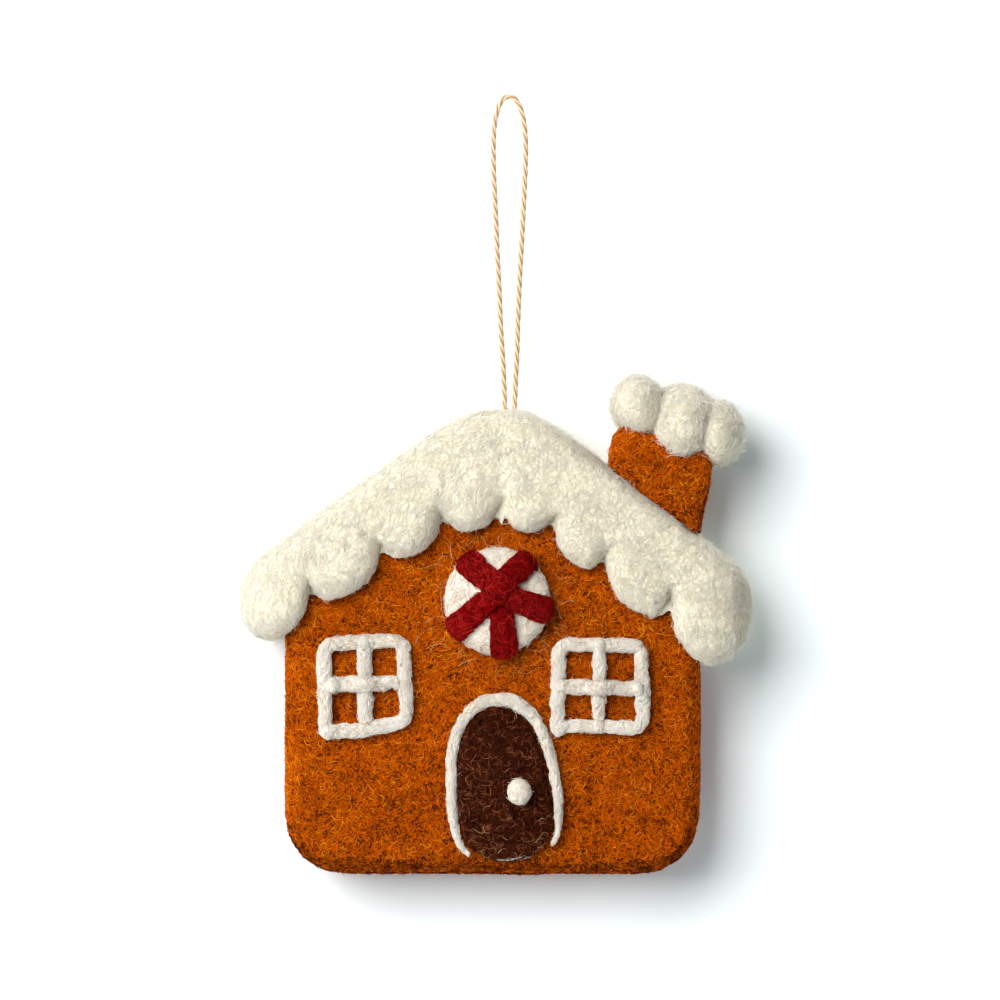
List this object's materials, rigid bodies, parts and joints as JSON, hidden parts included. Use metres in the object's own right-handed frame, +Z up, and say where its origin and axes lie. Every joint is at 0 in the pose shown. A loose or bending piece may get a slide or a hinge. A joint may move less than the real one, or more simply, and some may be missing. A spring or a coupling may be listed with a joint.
{
  "type": "felt christmas ornament",
  "caption": "Needle-felted wool gingerbread house with a snowy scalloped roof, leaning chimney, peppermint sweet, windows and door, hung on a twisted cotton loop.",
  "frame": {"origin": "inside the top of the hanging loop, where a hook or twig holds it", "axes": "+X across the house to its right as seen from the front, the front faces -Y, +Z up along the loop"},
  "size_m": [0.1024, 0.0278, 0.1561],
  "materials": {
    "gingerbread_felt": "needle-felted wool, caramel orange",
    "snow_felt": "needle-felted wool, cream white",
    "icing_felt": "needle-felted wool, warm white",
    "red_felt": "needle-felted wool, deep red",
    "chocolate_felt": "needle-felted wool, dark brown",
    "core_wool": "undyed core wool, hidden",
    "cotton_cord": "three-ply twisted cotton"
  },
  "bodies": {
    "cord_loop": {"hanging_loop": "cotton_cord"},
    "house": {"cord_knot": "cotton_cord", "wall_cover": "gingerbread_felt", "core_wool": "core_wool", "snow_roof": "snow_felt", "chimney": "gingerbread_felt", "chimney_puff_left": "snow_felt", "chimney_puff_middle": "snow_felt", "chimney_puff_right": "snow_felt", "mint_disc": "icing_felt", "mint_stripe_under": "red_felt", "mint_stripe_over": "red_felt", "mint_stripe_short": "red_felt", "window_left_frame": "icing_felt", "window_left_upright": "icing_felt", "window_left_crossbar": "icing_felt", "window_right_frame": "icing_felt", "window_right_upright": "icing_felt", "window_right_crossbar": "icing_felt", "door_panel": "chocolate_felt", "door_trim": "icing_felt", "door_knob": "icing_felt"}
  },
  "joints": [
    {"name": "loop_fold", "type": "hinge", "parent": "cord_loop", "child": "house", "pos_m": [0, 0, -0.0612], "axis": [1, 0, 0], "range_deg": [-90, 90]}
  ]
}
